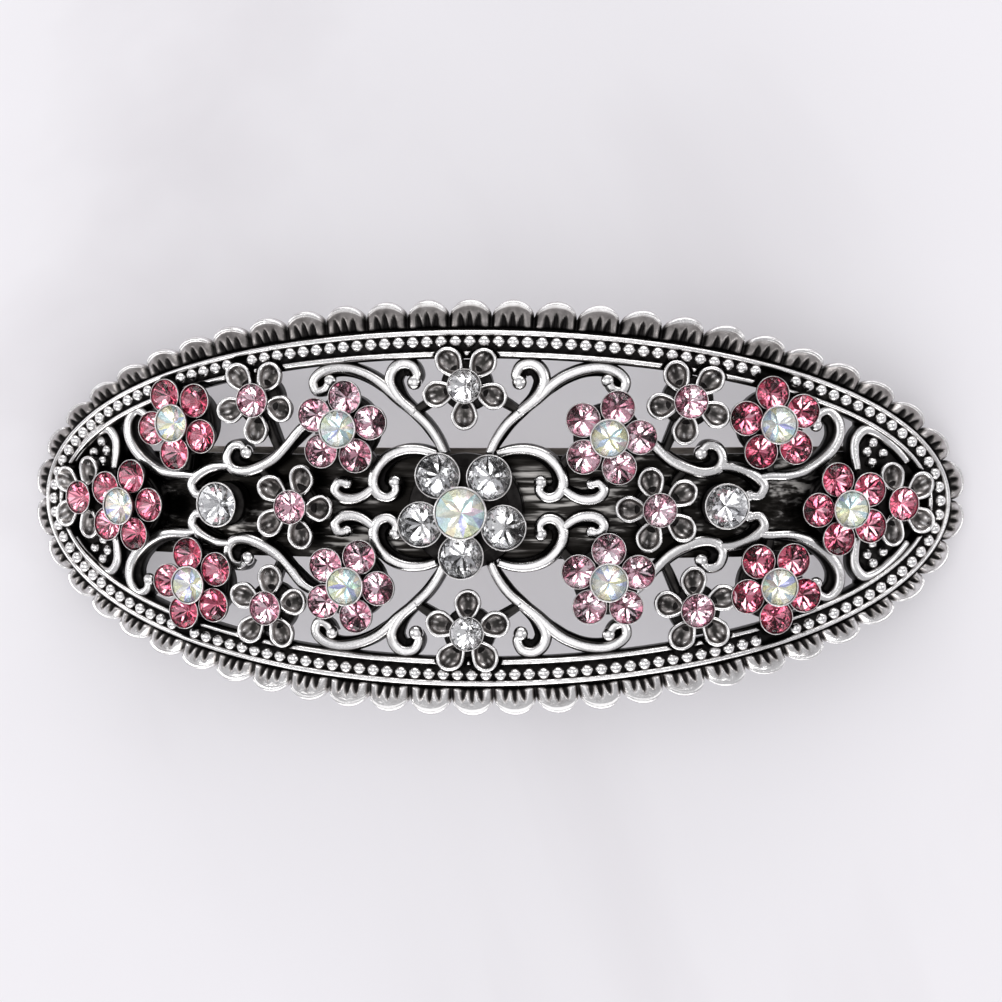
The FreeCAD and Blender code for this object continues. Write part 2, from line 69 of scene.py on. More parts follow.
# rosettes and flowers: name, u, v and turn in degrees; an end flower also lists the petals that it has
DARK = [("nw", -29.9, 8.0, 47), ("sw", -28.2, -7.8, 31), ("ne", 29.2, 7.9, 24), ("se", 29.2, -7.7, 54)]
LIGHT = [("nw", -12.4, 7.7, 11), ("sw", -11.8, -7.5, 68), ("ne", 13.2, 6.8, 1), ("se", 13.1, -7.0, 17)]
ENDS = [("w", -36.3, -0.3, 3), ("e", 36.4, -0.4, 37)]
CENTRE = (-0.6, -0.3, 52)
PINK_FLOWERS = [("nw", -21.6, 10.3, 56), ("sw", -20.4, -9.9, 13), ("ne", 21.0, 10.2, 45),
                ("se", 21.6, -9.9, 24), ("w", -17.7, 0.0, -2), ("e", 18.0, -0.2, 34)]
CLEAR_FLOWERS = [("n", -0.4, 11.8, 52), ("s", -0.3, -12.0, 18)]
END_FLOWERS = [("w", -42.5, 0.3, 0, (1, 2, 3, 4)), ("e", 42.4, -0.1, 36, (0, 1, 3, 4))]
COLLETS = [("w", -25.5, 0.1), ("e", 24.4, 0.1)]

# centre lines of the bars in one quarter of the panel, u and v from its mirror lines
SCROLLS = {
    "arch": [(2.2, 5.2), (2.9, 6.7), (4.0, 8.2), (5.5, 9.5), (6.9, 10.6), (8.1, 11.7), (9.4, 12.6),
             (11.2, 13.3), (13.0, 13.5), (14.4, 13.1), (15.3, 12.2), (15.0, 11.2), (14.1, 11.4),
             (13.6, 12.2)],
    "arch_curl": [(5.0, 9.2), (6.6, 10.5), (7.5, 12.0), (7.3, 13.2), (6.4, 13.9), (5.3, 13.7),
                  (4.8, 12.8), (5.1, 12.1)],
    "wing": [(3.0, 5.2), (4.4, 5.6), (6.1, 5.6), (7.7, 5.0), (8.9, 3.8), (9.3, 2.4), (8.8, 1.3), (7.8, 1.0),
             (7.0, 1.6), (7.1, 2.5)],
    "small_curl": [(9.3, 1.9), (10.2, 1.2), (11.3, 0.8), (12.5, 0.9), (13.2, 1.6), (12.8, 2.4),
                   (12.0, 2.3)],
    "s_scroll": [(14.2, 8.6), (16.4, 7.8), (18.0, 6.1), (19.4, 4.7), (21.0, 3.8), (22.7, 3.3), (24.1, 3.5),
                 (24.8, 4.5), (24.3, 5.7), (23.2, 5.9), (22.6, 5.2)],
    "s_link": [(21.2, 3.7), (20.4, 2.8), (19.8, 2.0)],
    "hug": [(24.4, 3.8), (25.6, 3.8), (26.9, 3.5), (28.2, 2.8), (28.9, 1.9), (28.4, 1.0), (27.4, 1.0)],
    "long_c": [(28.4, 2.8), (29.6, 2.9), (31.2, 2.9), (32.8, 3.2), (34.4, 4.0), (35.8, 5.2), (36.6, 6.6),
               (36.5, 8.1), (35.5, 9.1), (34.4, 8.7), (34.2, 7.7)],
    "end_link": [(34.6, 4.2), (35.4, 3.4), (36.2, 2.6)],
    "corner_tie": [(21.1, 10.0), (21.3, 11.6), (21.5, 13.2)],
    "corner_foot": [(20.8, 9.6), (20.0, 7.4), (19.0, 5.2)],
    "crown_tie": [(0.6, 12.2), (0.8, 13.4), (0.9, 14.5)],
    "crown_foot": [(1.6, 11.2), (3.2, 10.5), (5.0, 9.4)],
    "leaf": [(38.5, 3.2), (38.2, 4.8), (38.3, 6.2), (39.3, 7.2), (40.8, 6.8), (42.6, 5.4), (44.0, 3.9)],
    "dark_foot": [(29.2, 6.0), (29.4, 4.4), (29.6, 2.9)],
    "dark_tie": [(29.4, 8.6), (29.9, 9.8), (30.4, 11.0)],
    "light_foot": [(11.4, 6.4), (9.8, 4.8), (8.9, 3.8)],
}
# radius of the ball that ends a scroll
BALLS = {"arch": 0.62, "arch_curl": 0.68, "wing": 0.62, "small_curl": 0.52, "s_scroll": 0.66, "hug": 0.56,
         "long_c": 0.62}
# low, dull ties and links
QUIET = ("s_link", "end_link", "corner_tie", "corner_foot", "crown_tie", "crown_foot", "dark_foot",
         "dark_tie", "light_foot")
LEAF_BEADS = [(40.3, 5.9), (41.4, 4.8), (39.6, 5.0), (40.2, 3.9)]
FLOOR_U = 38.6        # the panel's end floors start here
FLOOR_W = -0.55       # and lie this far below the face


def wrap(u, v, w):
    """Metres, for a point u along the bend, v across, w above the face."""
    a = u / BEND_R
    return (MM * (BEND_R + w) * math.sin(a), MM * v, MM * (AXIS_Z + (BEND_R + w) * math.cos(a)))


def seat(u, v, turn=0.0):
    """Places local points (mm) on the tangent plane at u, v."""
    tilt = Matrix.Rotation(u / BEND_R, 3, "Y") @ Matrix.Rotation(math.radians(turn), 3, "Z")
    base = Vector(wrap(u, v, 0.0))

    def put(x, y, z):
        return tuple(base + (tilt @ Vector((x, y, z))) * MM)
    return put


# ------------------------------------------------------------------ materials
def nodes_for(name):
    mat = bpy.data.materials.new(name)
    mat.use_nodes = True
    tree = mat.node_tree
    shader = tree.nodes["Principled BSDF"]
    return mat, tree, shader


def ramp(tree, stops):
    node = tree.nodes.new("ShaderNodeValToRGB")
    elements = node.color_ramp.elements
    while len(elements) < len(stops):
        elements.new(0.5)
    for element, (pos, colour) in zip(elements, stops):
        element.position = pos
        element.color = (*colour, 1.0)
    return node


def noise(tree, scale, detail=3.0, stretch=None):
    coord = tree.nodes.new("ShaderNodeTexCoord")
    node = tree.nodes.new("ShaderNodeTexNoise")
    node.inputs["Scale"].default_value = scale
    node.inputs["Detail"].default_value = detail
    if stretch:
        mapping = tree.nodes.new("ShaderNodeMapping")
        mapping.inputs["Scale"].default_value = stretch
        tree.links.new(coord.outputs["Object"], mapping.inputs["Vector"])
        tree.links.new(mapping.outputs["Vector"], node.inputs["Vector"])
    else:
        tree.links.new(coord.outputs["Object"], node.inputs["Vector"])
    return node


def maths(tree, operation, *items, clamp=False):
    node = tree.nodes.new("ShaderNodeMath")
    node.operation = operation
    node.use_clamp = clamp
    for i, item in enumerate(items):
        if isinstance(item, float):
            node.inputs[i].default_value = item
        else:
            tree.links.new(item, node.inputs[i])
    return node.outputs[0]


def bump(tree, shader, height, strength, distance):
    node = tree.nodes.new("ShaderNodeBump")
    node.inputs["Strength"].default_value = strength
    node.inputs["Distance"].default_value = distance
    tree.links.new(height, node.inputs["Height"])
    tree.links.new(node.outputs["Normal"], shader.inputs["Normal"])


def spread_of(tree, low, high, factor, socket):
    """Lets a factor drive a socket between two values."""
    node = tree.nodes.new("ShaderNodeMapRange")
    node.inputs["To Min"].default_value = low
    node.inputs["To Max"].default_value = high
    tree.links.new(factor, node.inputs["Value"])
    tree.links.new(node.outputs["Result"], socket)


def antique_silver():
    """Silver plate: black in the recesses, bright where the wear attribute says that it is rubbed; on the
    border scallops the attribute also holds painted light, lighter at the front and darker at the back.
    """
    mat, tree, shader = nodes_for("antique_silver")
    wear_and_painted_light = tree.nodes.new("ShaderNodeAttribute")
    wear_and_painted_light.attribute_name = "wear_and_painted_light"
    blotch = noise(tree, 900.0, 4.0)
    fine = noise(tree, 5200.0, 3.0)
    spread = maths(tree, "MULTIPLY_ADD", blotch.outputs["Fac"], 0.56, -0.32)
    level = maths(tree, "ADD", wear_and_painted_light.outputs["Fac"], spread, clamp=True)
    colour = ramp(tree, [(0.0, (0.012, 0.011, 0.011)), (0.30, (0.045, 0.042, 0.040)),
                         (0.58, (0.35, 0.325, 0.315)), (0.88, (0.83, 0.815, 0.81))])
    tree.links.new(level, colour.inputs["Fac"])
    tree.links.new(colour.outputs["Color"], shader.inputs["Base Color"])
    spread_of(tree, 0.42, 0.20, level, shader.inputs["Roughness"])
    shader.inputs["Metallic"].default_value = 1.0
    bump(tree, shader, fine.outputs["Fac"], 0.35, 0.00005)
    return mat


def clip_steel(name, stops):
    """Brushed steel with its grain along X."""
    mat, tree, shader = nodes_for(name)
    grain = noise(tree, 1500.0, 3.0, (0.012, 1.4, 1.4))
    blotch = noise(tree, 160.0, 2.0)
    level = maths(tree, "MULTIPLY", grain.outputs["Fac"], blotch.outputs["Fac"])
    colour = ramp(tree, stops)
    tree.links.new(level, colour.inputs["Fac"])
    tree.links.new(colour.outputs["Color"], shader.inputs["Base Color"])
    shader.inputs["Metallic"].default_value = 1.0
    spread_of(tree, 0.22, 0.45, blotch.outputs["Fac"], shader.inputs["Roughness"])
    bump(tree, shader, grain.outputs["Fac"], 0.4, 0.00006)
    return mat


def foil(name, stops, rough=0.10):
    """Mirror backing of a stone: each facet takes its own tone from the ramp."""
    mat, tree, shader = nodes_for(name)
    tone = tree.nodes.new("ShaderNodeAttribute")
    tone.attribute_name = "tone"
    cloud = noise(tree, 420.0, 1.0)
    drift = maths(tree, "MULTIPLY_ADD", cloud.outputs["Fac"], 0.24, -0.12)
    level = maths(tree, "ADD", tone.outputs["Fac"], drift, clamp=True)
    colour = ramp(tree, stops)
    tree.links.new(level, colour.inputs["Fac"])
    tree.links.new(colour.outputs["Color"], shader.inputs["Base Color"])
    shader.inputs["Metallic"].default_value = 1.0
    shader.inputs["Roughness"].default_value = rough
    return mat


def crystal(name, tint_a, tint_b):
    """Clear faceted crown."""
    mat, tree, shader = nodes_for(name)
    cloud = noise(tree, 300.0, 1.0)
    colour = ramp(tree, [(0.35, tint_a), (0.65, tint_b)])
    tree.links.new(cloud.outputs["Fac"], colour.inputs["Fac"])
    tree.links.new(colour.outputs["Color"], shader.inputs["Base Color"])
    shader.inputs["Transmission Weight"].default_value = 1.0
    shader.inputs["Roughness"].default_value = 0.0
    shader.inputs["IOR"].default_value = 1.33
    return mat


SILVER = antique_silver()
STEEL = clip_steel("clip_steel", [(0.22, (0.010, 0.009, 0.008)), (0.31, (0.035, 0.032, 0.030)),
                                  (0.40, (0.46, 0.44, 0.42))])
ARM_STEEL = clip_steel("arm_steel", [(0.10, (0.15, 0.13, 0.115)), (0.26, (0.33, 0.29, 0.265)),
                                     (0.44, (0.52, 0.475, 0.44))])
# crown and foil of each kind of stone
STONE = {
    "rose": (crystal("rose_crown", (0.97, 0.66, 0.73), (0.99, 0.74, 0.80)),
             foil("rose_foil", [(0.0, (0.34, 0.07, 0.12)), (0.35, (0.88, 0.32, 0.43)),
                                (0.9, (1.0, 0.70, 0.77))])),
    "pink": (crystal("pink_crown", (0.99, 0.84, 0.89), (1.0, 0.90, 0.94)),
             foil("pink_foil", [(0.0, (0.36, 0.15, 0.20)), (0.35, (0.98, 0.64, 0.73)),
                                (0.9, (1.0, 0.92, 0.95))])),
    "clear": (crystal("clear_crown", (0.97, 0.97, 0.98), (1.0, 1.0, 1.0)),
              foil("clear_foil", [(0.0, (0.26, 0.26, 0.27)), (0.22, (0.93, 0.93, 0.94)),
                                  (0.8, (1.0, 1.0, 1.0))])),
    "rainbow": (crystal("rainbow_crown", (0.98, 1.0, 1.0), (1.0, 1.0, 0.98)),
                foil("rainbow_foil", [(0.0, (0.62, 0.62, 1.0)), (0.2, (0.74, 0.98, 1.0)),
                                      (0.5, (1.0, 1.0, 1.0)), (0.78, (1.0, 0.98, 0.66)),
                                      (1.0, (1.0, 0.80, 0.94))], 0.26)),
}
STONE_SLOT = {"rose": "rose_stones", "pink": "pink_stones", "clear": "clear_stones",
              "rainbow": "iridescent_stones"}


# ------------------------------------------------------------------ mesh builder
def face_outwards(mesh):
    """Turns every face's normal outwards."""
    bm = bmesh.new()
    bm.from_mesh(mesh)
    bmesh.ops.recalc_face_normals(bm, faces=bm.faces)
    bm.to_mesh(mesh)
    bm.free()


class Sheet:
    """Collects points with a wear value, which on the border scallops also holds painted light, and faces
    with a tone, and makes one mesh of them.
    """

    def __init__(self):
        self.points = []
        self.faces = []
        self.wear_and_painted_light = []
        self.tone = []
        self.slots = []
        self.smooth = []

    def grid(self, rows, wear_and_painted_light_rows, close_rows=True):
        """Joins closed rows of points, all the same length, and the last row to the first if asked."""
        base = len(self.points)
        n = len(rows[0])
        for row, wear_and_painted_light in zip(rows, wear_and_painted_light_rows):
            self.points += row
            self.wear_and_painted_light += wear_and_painted_light
        last = len(rows) if close_rows else len(rows) - 1
        for i in range(last):
            for j in range(n):
                a = base + i * n + j
                b = base + i * n + (j + 1) % n
                c = base + ((i + 1) % len(rows)) * n + (j + 1) % n
                d = base + ((i + 1) % len(rows)) * n + j
                self.face((a, b, c, d))
        return base

    def face(self, ids, slot=0, tone=0.5, smooth=True):
        self.faces.append(ids)
        self.slots.append(slot)
        self.tone.append(tone)
        self.smooth.append(smooth)

    def lathe(self, put, profile, seg):
        """Turns a profile of radius, height and wear, which runs from axis to axis."""
        rings = []
        for r, z, wear_and_painted_light in profile:
            if r == 0:
                rings.append([len(self.points)])
                self.points.append(put(0, 0, z))
                self.wear_and_painted_light.append(wear_and_painted_light)
                continue
            ring = []
            for k in range(seg):
                a = 2 * math.pi * k / seg
                ring.append(len(self.points))
                self.points.append(put(r * math.cos(a), r * math.sin(a), z))
                self.wear_and_painted_light.append(wear_and_painted_light)
            rings.append(ring)
        for low, high in zip(rings, rings[1:]):
            for k in range(seg):
                m = (k + 1) % seg
                if len(low) == 1:
                    self.face((low[0], high[k], high[m]))
                elif len(high) == 1:
                    self.face((low[k], high[0], low[m]))
                else:
                    self.face((low[k], high[k], high[m], low[m]))

    def stack(self, rings, wear_and_painted_light_rows):
        """Rings of points joined in order, with a fan closing either end."""
        base = self.grid(rings, wear_and_painted_light_rows, close_rows=False)
        n = len(rings[0])
        for start, ring, wear_and_painted_light, flip in ((base, rings[0], wear_and_painted_light_rows[0], True),
                                        (base + n * (len(rings) - 1), rings[-1], wear_and_painted_light_rows[-1], False)):
            tip = len(self.points)
            self.points.append(tuple(sum(p[i] for p in ring) / n for i in range(3)))
            self.wear_and_painted_light.append(wear_and_painted_light[0])
            for k in range(n):
                m = (k + 1) % n
                self.face((tip, start + m, start + k) if flip else (tip, start + k, start + m))

    def tube(self, rows, wear_and_painted_light_rows):
        """Closed rows joined in order, with one flat face on either end."""
        base = self.grid(rows, wear_and_painted_light_rows, close_rows=False)
        m = len(rows[0])
        self.face(tuple(base + j for j in range(m)))
        self.face(tuple(base + (len(rows) - 1) * m + j for j in reversed(range(m))))

    def make(self, name, materials, body="ornament", slot="antique_silver"):
        mesh = bpy.data.meshes.new(name)
        mesh.from_pydata(self.points, [], self.faces)
        for mat in materials:
            mesh.materials.append(mat)
        mesh.polygons.foreach_set("material_index", self.slots)
        mesh.polygons.foreach_set("use_smooth", self.smooth)
        mesh.attributes.new("wear_and_painted_light", "FLOAT", "POINT").data.foreach_set("value", self.wear_and_painted_light)
        mesh.attributes.new("tone", "FLOAT", "FACE").data.foreach_set("value", self.tone)
        mesh.validate()
        face_outwards(mesh)
        obj = bpy.data.objects.new(name, mesh)
        bpy.context.scene.collection.objects.link(obj)
        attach(obj, body)
        return obj


def bell(x, width):
    """One at zero, falling off over the width."""
    return math.exp(-(x / width) ** 2)


def step(x, low, high):
    """Smooth rise from 0 at low to 1 at high."""
    t = min(1.0, max(0.0, (x - low) / (high - low)))
    return t * t * (3 - 2 * t)


def around(put, u, v):
    """The same placing, moved by u, v."""
    def shifted(x, y, z):
        return put(x + u, y + v, z)
    return shifted


def turned(put, u, v, angle):
    """The same placing, moved by u, v and turned by an angle in degrees."""
    c = math.cos(math.radians(angle))
    s = math.sin(math.radians(angle))

    def moved(x, y, z):
        return put(u + x * c - y * s, v + x * s + y * c, z)
    return moved


# ------------------------------------------------------------------ stones and settings
LIP_SHARE = 0.3       # share of a cup's wall that the stone's edge covers


def gem(sheet, put, s, seed, ring=(0.0, 0.0)):
    """Brilliant-cut stone: table, stars, kites, upper and lower halves, pavilion."""
    crown = 0
    foil_back = 1
    dice = random.Random(seed)
    r = s["r"] + LIP_SHARE * s["wall"] - 0.01
    spin = dice.uniform(0, 45)
    z_girdle = s["girdle"] + 0.08
    z_top = s["top"]
    z_mid = z_girdle + 0.62 * (z_top - z_girdle)
    z_low = s["floor"] + 0.02

    def ring_of(count, radius, z, offset):
        ids = []
        for k in range(count):
            a = math.radians(spin + offset + 360.0 * k / count)
            ids.append(len(sheet.points))
            sheet.points.append(put(ring[0] + radius * math.cos(a), ring[1] + radius * math.sin(a), z))
            sheet.wear_and_painted_light.append(0.5)
        return ids

    table = ring_of(8, 0.56 * r, z_top, 0)
    kite = ring_of(8, 0.79 * r, z_mid, 22.5)
    edge = ring_of(16, r, z_girdle, 0)
    under = ring_of(16, r, z_girdle - 0.10, 0)
    low = ring_of(8, 0.42 * r, z_low + 0.30 * (z_girdle - z_low), 22.5)
    tip = len(sheet.points)
    sheet.points.append(put(ring[0], ring[1], z_low))
    sheet.wear_and_painted_light.append(0.5)

    def facet(ids, slot):
        sheet.face(ids, slot, dice.random(), smooth=False)

    facet(tuple(table), crown)
    for k in range(8):
        n = (k + 1) % 8
        facet((table[k], kite[k], table[n]), crown)
        facet((table[k], kite[k - 1], edge[2 * k], kite[k]), crown)
        facet((kite[k], edge[2 * k], edge[2 * k + 1]), crown)
        facet((kite[k], edge[2 * k + 1], edge[2 * n]), crown)
        facet((low[k], under[2 * k + 1], under[2 * k]), foil_back)
        facet((low[k], under[2 * n], under[2 * k + 1]), foil_back)
        facet((tip, low[k], under[2 * k], low[k - 1]), foil_back)
    for k in range(16):
        n = (k + 1) % 16
        facet((edge[k], under[k], under[n], edge[n]), foil_back)


def cup(sheet, put, s, seg=36):
    """Cup and bezel round a stone, closed underneath the stone."""
    r = s["r"]
    out = r + s["wall"]
    g = s["girdle"]
    lip = g + 0.22
    foot = s["foot"]
    bottom = s["floor"] - 0.04
    knee = max(0.0, s["floor"] - 0.3)
    inner = r + LIP_SHARE * s["wall"]
    profile = [(0, bottom, 0.0), (0.45 * r + 0.01, bottom, 0.0), (inner, g - 0.04, 0.0),
               (inner, g + 0.12, 0.2), (inner + 0.02, lip, 0.75), (out - 0.02, lip + 0.01, 0.9),
               (out, lip - 0.05, 0.7), (out + 0.01, g + 0.02, 0.3), (out, g - 0.10, 0.08)]
    if knee > 0.5:    # a raised cup stands on a straight foot
        profile.append((0.5 * (out + foot), 0.5 * (g + knee), 0.04))
        profile.append((foot, knee, 0.0))
    profile += [(foot, -0.05, 0.0), (0, -0.05, 0.0)]
    sheet.lathe(put, profile, seg)


def petal(sheet, put, seed):
    """Teardrop petal: dished floor with worn ribs, bright rolled rim."""
    dice = random.Random(seed)
    lean = dice.uniform(-0.12, 0.12)
    deep = dice.uniform(-0.08, 0.08)
    seg = 36

    def outline(t, scale):
        c = math.cos(t)
        width = 1.34 * (1.0 - 0.30 * max(0.0, -c))
        return (0.22 + (1.46 if c > 0 else 1.85) * c * scale, (width * math.sin(t) + lean * c) * scale)

    # share of the outline, height and wear, from the middle of the dish over the rim and down
    levels = [(0.12, 0.14 + deep, 0.26), (0.35, 0.16 + deep, 0.40), (0.54, 0.26 + deep, 0.44),
              (0.67, 0.50, 0.50), (0.74, 0.74, 0.72), (0.80, 0.89, 0.98), (0.89, 0.97, 1.0),
              (0.97, 0.89, 0.98), (1.0, 0.72, 0.72), (0.99, 0.45, 0.22), (0.80, 0.0, 0.0),
              (0.72, -0.06, 0.0)]
    rings = []
    wear_and_painted_light_rows = []
    for scale, z, wear_and_painted_light in levels:
        ring = []
        shade = []
        for k in range(seg):
            x, y = outline(2 * math.pi * k / seg, scale)
            rib = 0.0
            if 0.3 < scale < 0.7:
                rib = max(bell(y, 0.10), bell(abs(y) - 0.58, 0.10)) * step(x, -0.8, 0.2)
            lift = 0.10 * x if scale > 0.3 and z > 0.1 else 0.0
            ring.append(put(x, y, z + lift + 0.04 * rib))
            shade.append(min(1.0, wear_and_painted_light + 0.55 * rib))
        rings.append(ring)
        wear_and_painted_light_rows.append(shade)
    sheet.stack(rings, wear_and_painted_light_rows)


def web(sheet, put, radius):
    """Dark plate that joins the petals or cups of one ring."""
    top = 0.26
    sheet.lathe(put, [(0, top, 0.05), (radius - 0.15, top, 0.08), (radius, top - 0.12, 0.12),
                      (radius, -0.04, 0.0), (0, -0.04, 0.0)], 40)


def petal_spots():
    """Every petal and petal stone as u, v, reach: the rails and beads stop short of these."""
    spots = []
    for group, ring, reach in ((DARK + LIGHT + ENDS, RING_SMALL, 1.55),
                               (PINK_FLOWERS + CLEAR_FLOWERS + END_FLOWERS, FLOWER_RING, 1.45)):
        far = ring + 0.2
        for item in group:
            u, v, turn = item[1:4]
            for k in range(PETALS):
                a = math.radians(turn + PETAL_STEP * k)
                spots.append((u + far * math.cos(a), v + far * math.sin(a), reach))
    return spots


def ring_spots(ring, turns=range(PETALS)):
    """Places on a ring as x, y and angle in degrees."""
    spots = []
    for k in turns:
        a = math.radians(PETAL_STEP * k)
        spots.append((ring * math.cos(a), ring * math.sin(a), PETAL_STEP * k))
    return spots


def rosette(name, u, v, turn, inner, outer, ring, kind, stone_node, setting_node, seed):
    """One raised cup in a ring of lower cups with their stones; the raised stone is made apart."""
    put = seat(u, v, turn)
    metal = Sheet()
    web(metal, put, ring + 0.1)
    stones = Sheet()
    for i, (x, y, a) in enumerate(ring_spots(ring)):
        cup(metal, around(put, x, y), outer)
        gem(stones, put, outer, seed * 10 + i, (x, y))
    cup(metal, put, inner, 44)
    obj = metal.make(name, [SILVER])
    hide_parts(setting_node)
    stone_obj = stones.make(name + "_petal_stones", list(STONE[kind]), slot=STONE_SLOT[kind])
    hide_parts(stone_node)


seed = 1
rainbow = Sheet()
for family, group, kind in (("dark", DARK, "rose"), ("light", LIGHT, "pink"), ("end", ENDS, "rose")):
    for name, u, v, turn in group:
        key = family + "_" + name
        rosette("rosette_" + key + "_cups", u, v, turn, RAISED, SMALL, RING_SMALL, kind, "stones_" + key,
                "rosette_" + key, seed)
        gem(rainbow, seat(u, v), RAISED, seed * 10 + 7)
        seed += 1
obj = rainbow.make("iridescent_stones_small", list(STONE["rainbow"]), slot="iridescent_stones")
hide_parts("stones_small_iridescent")

u, v, turn = CENTRE
rosette("rosette_centre_cups", u, v, turn, CROWN, LARGE, RING_CENTRE, "clear", "stones_centre_petals",
        "rosette_centre", seed)
middle = Sheet()
gem(middle, seat(u, v), CROWN, 991)
obj = middle.make("iridescent_stone_centre", list(STONE["rainbow"]), slot="iridescent_stones")
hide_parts("stone_centre_iridescent")

for family, group, kind in (("pink", PINK_FLOWERS, "pink"), ("clear", CLEAR_FLOWERS, "clear"),
                            ("end", END_FLOWERS, "rose")):
    stones = Sheet()
    for item in group:
        name, u, v, turn = item[:4]
        turns = item[4] if len(item) > 4 else range(PETALS)
        put = seat(u, v, turn)
        metal = Sheet()
        web(metal, put, FLOWER_RING - 0.3)
        for x, y, a in ring_spots(FLOWER_RING, turns):
            petal(metal, turned(put, x, y, a), seed)
        cup(metal, put, SMALL)
        obj = metal.make("flower_" + family + "_" + name + "_petals", [SILVER])
        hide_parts("flower_" + family + "_" + name)
        gem(stones, put, SMALL, seed * 10 + 3)
        seed += 1
    obj = stones.make(family + "_flower_stones", list(STONE[kind]), slot=STONE_SLOT[kind])
    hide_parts("stones_" + family + "_flowers")

stones = Sheet()
for name, u, v in COLLETS:
    put = seat(u, v)
    metal = Sheet()
    cup(metal, put, COLLET, 44)
    obj = metal.make("collet_" + name + "_rim", [SILVER])
    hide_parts("collet_" + name)
    gem(stones, put, COLLET, seed * 10 + 3)
    seed += 1
obj = stones.make("collet_stones", list(STONE["clear"]), slot="clear_stones")
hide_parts("stones_collets")


# ------------------------------------------------------------------ border
def even_angles(axes, count):
    """Angles that space points evenly along an oval."""
    steps = 8000
    lengths = [0.0]
    for i in range(steps):
        t = 2 * math.pi * (i + 0.5) / steps
        lengths.append(lengths[-1] + math.hypot(axes[0] * math.sin(t), axes[1] * math.cos(t)))
    out = []
    j = 0
    for i in range(count):
        target = lengths[-1] * i / count
        while lengths[j + 1] < target:
            j += 1
        part = (target - lengths[j]) / (lengths[j + 1] - lengths[j])
        out.append(2 * math.pi * (j + part) / steps)
    return out


COLS = 30             # columns of points per scallop
columns = even_angles(ROOT, N_SCALLOP * COLS)
SPOTS = petal_spots()
# across a rail: distance outwards, height and wear
RAIL = [(-0.36, 0.04, 0.02), (-0.30, 0.26, 0.25), (-0.19, 0.48, 0.85), (0.0, 0.58, 1.0), (0.19, 0.48, 0.85),
        (0.30, 0.26, 0.25), (0.36, 0.04, 0.02)]
# rows round the border from the panel outwards: oval, distance out from it, height, wear
inner_rows = [(PANEL, 0.0, BACK, 0.0), (PANEL, 0.0, -0.7, 0.0), (PANEL, 0.0, -0.10, 0.05),
              (PANEL, 0.04, 0.02, 0.12)]
inner_rows += [(RAIL_IN, d, w, g) for d, w, g in RAIL]
inner_rows += [(BEAD_ROW, -0.45, 0.02, 0.0), (BEAD_ROW, 0.0, 0.0, 0.0)]
inner_rows += [(RAIL_OUT, d, w, g) for d, w, g in RAIL]

rows = []
wear_and_painted_light_rows = []
LOW = -0.10           # height of the border where it passes under a petal
for axes, d, w, g in inner_rows:
    row = []
    wear_and_painted_light = []
    for k in columns:
        u = (axes[0] + d) * math.cos(k)
        v = (axes[1] + d) * math.sin(k)
        clear = min(step(math.hypot(u - x, v - y), reach, reach + 0.25) for x, y, reach in SPOTS)
        row.append(wrap(u, v, min(w, LOW) + (w - min(w, LOW)) * clear))
        wear_and_painted_light.append(g * clear)
    rows.append(row)
    wear_and_painted_light_rows.append(wear_and_painted_light)
START = (RAIL_OUT[0] + 0.34, RAIL_OUT[1] + 0.34)    # where the scallops begin
# rows over a scallop, from root to tip, closer together at both ends
LEVELS = [0.0, 0.04, 0.09, 0.15, 0.22, 0.30, 0.38, 0.46, 0.54, 0.62, 0.69, 0.75, 0.80, 0.85, 0.90, 0.95,
          1.0]


def scallop_edge(j):
    """A column's phase within its scallop, from -1 to 1, and the point on the scallop's edge."""
    k = columns[j]
    phase = 2.0 * (j % COLS) / COLS - 1.0
    reach = math.sqrt(max(0.0, 1.0 - (0.985 * phase) ** 2))
    u = (ROOT[0] + (TIP[0] - ROOT[0]) * reach) * math.cos(k)
    v = (ROOT[1] + (TIP[1] - ROOT[1]) * reach) * math.sin(k)
    return phase, u, v


def shell_relief(phase, rho, side):
    """Height and wear over one scallop, with painted light in the wear: slope, rolled rim and dark wedge
    grooves from the root.

    rho runs from root to tip, and side from -1 at the front of the ornament to 1 at its back; the side term
    paints the front scallops lighter and the back ones darker, as painted light.
    """
    groove = 0.0
    for c in (-0.50, 0.0, 0.50):
        centre = c * (0.72 + 0.35 * rho)
        width = 0.175 * max(0.02, 1.0 - 1.25 * rho)
        fade = 1.0 - step(rho, 0.42 - 0.12 * abs(c), 0.66)
        groove = max(groove, bell(phase - centre, width) * fade)
    root = 1.0 - step(rho, 0.0, 0.13)
    notch = bell(1.0 - abs(phase), 0.12)
    height = 0.30 - 0.50 * rho + 0.26 * (1.0 - phase * phase) * math.sin(math.pi * min(1.0, rho + 0.1))
    height += 0.20 * bell(rho - 0.90, 0.06) - 0.34 * groove - 0.35 * notch - 0.25 * root
    # painted light: the side term lightens the scallops at the front of the ornament and darkens those at
    # its back
    bright = 0.72 - 0.17 * side + 0.34 * step(rho, 0.72, 0.86) - 1.0 * groove - 0.8 * notch - 0.9 * root
    return height, min(1.0, max(0.0, bright))


for rho in LEVELS:
    row = []
    wear_and_painted_light = []
    for j, k in enumerate(columns):
        phase, u, v = scallop_edge(j)
        u0 = START[0] * math.cos(k)
        v0 = START[1] * math.sin(k)
        # the scallops' brightness holds painted light as well as wear: lighter at the front of the
        # ornament, darker at its back
        height, bright = shell_relief(phase, rho, math.sin(k))
        if rho == LEVELS[-1]:
            height -= 0.16    # the very edge turns down
        row.append(wrap(u0 + (u - u0) * rho, v0 + (v - v0) * rho, height))
        wear_and_painted_light.append(bright)
    rows.append(row)
    wear_and_painted_light_rows.append(wear_and_painted_light)
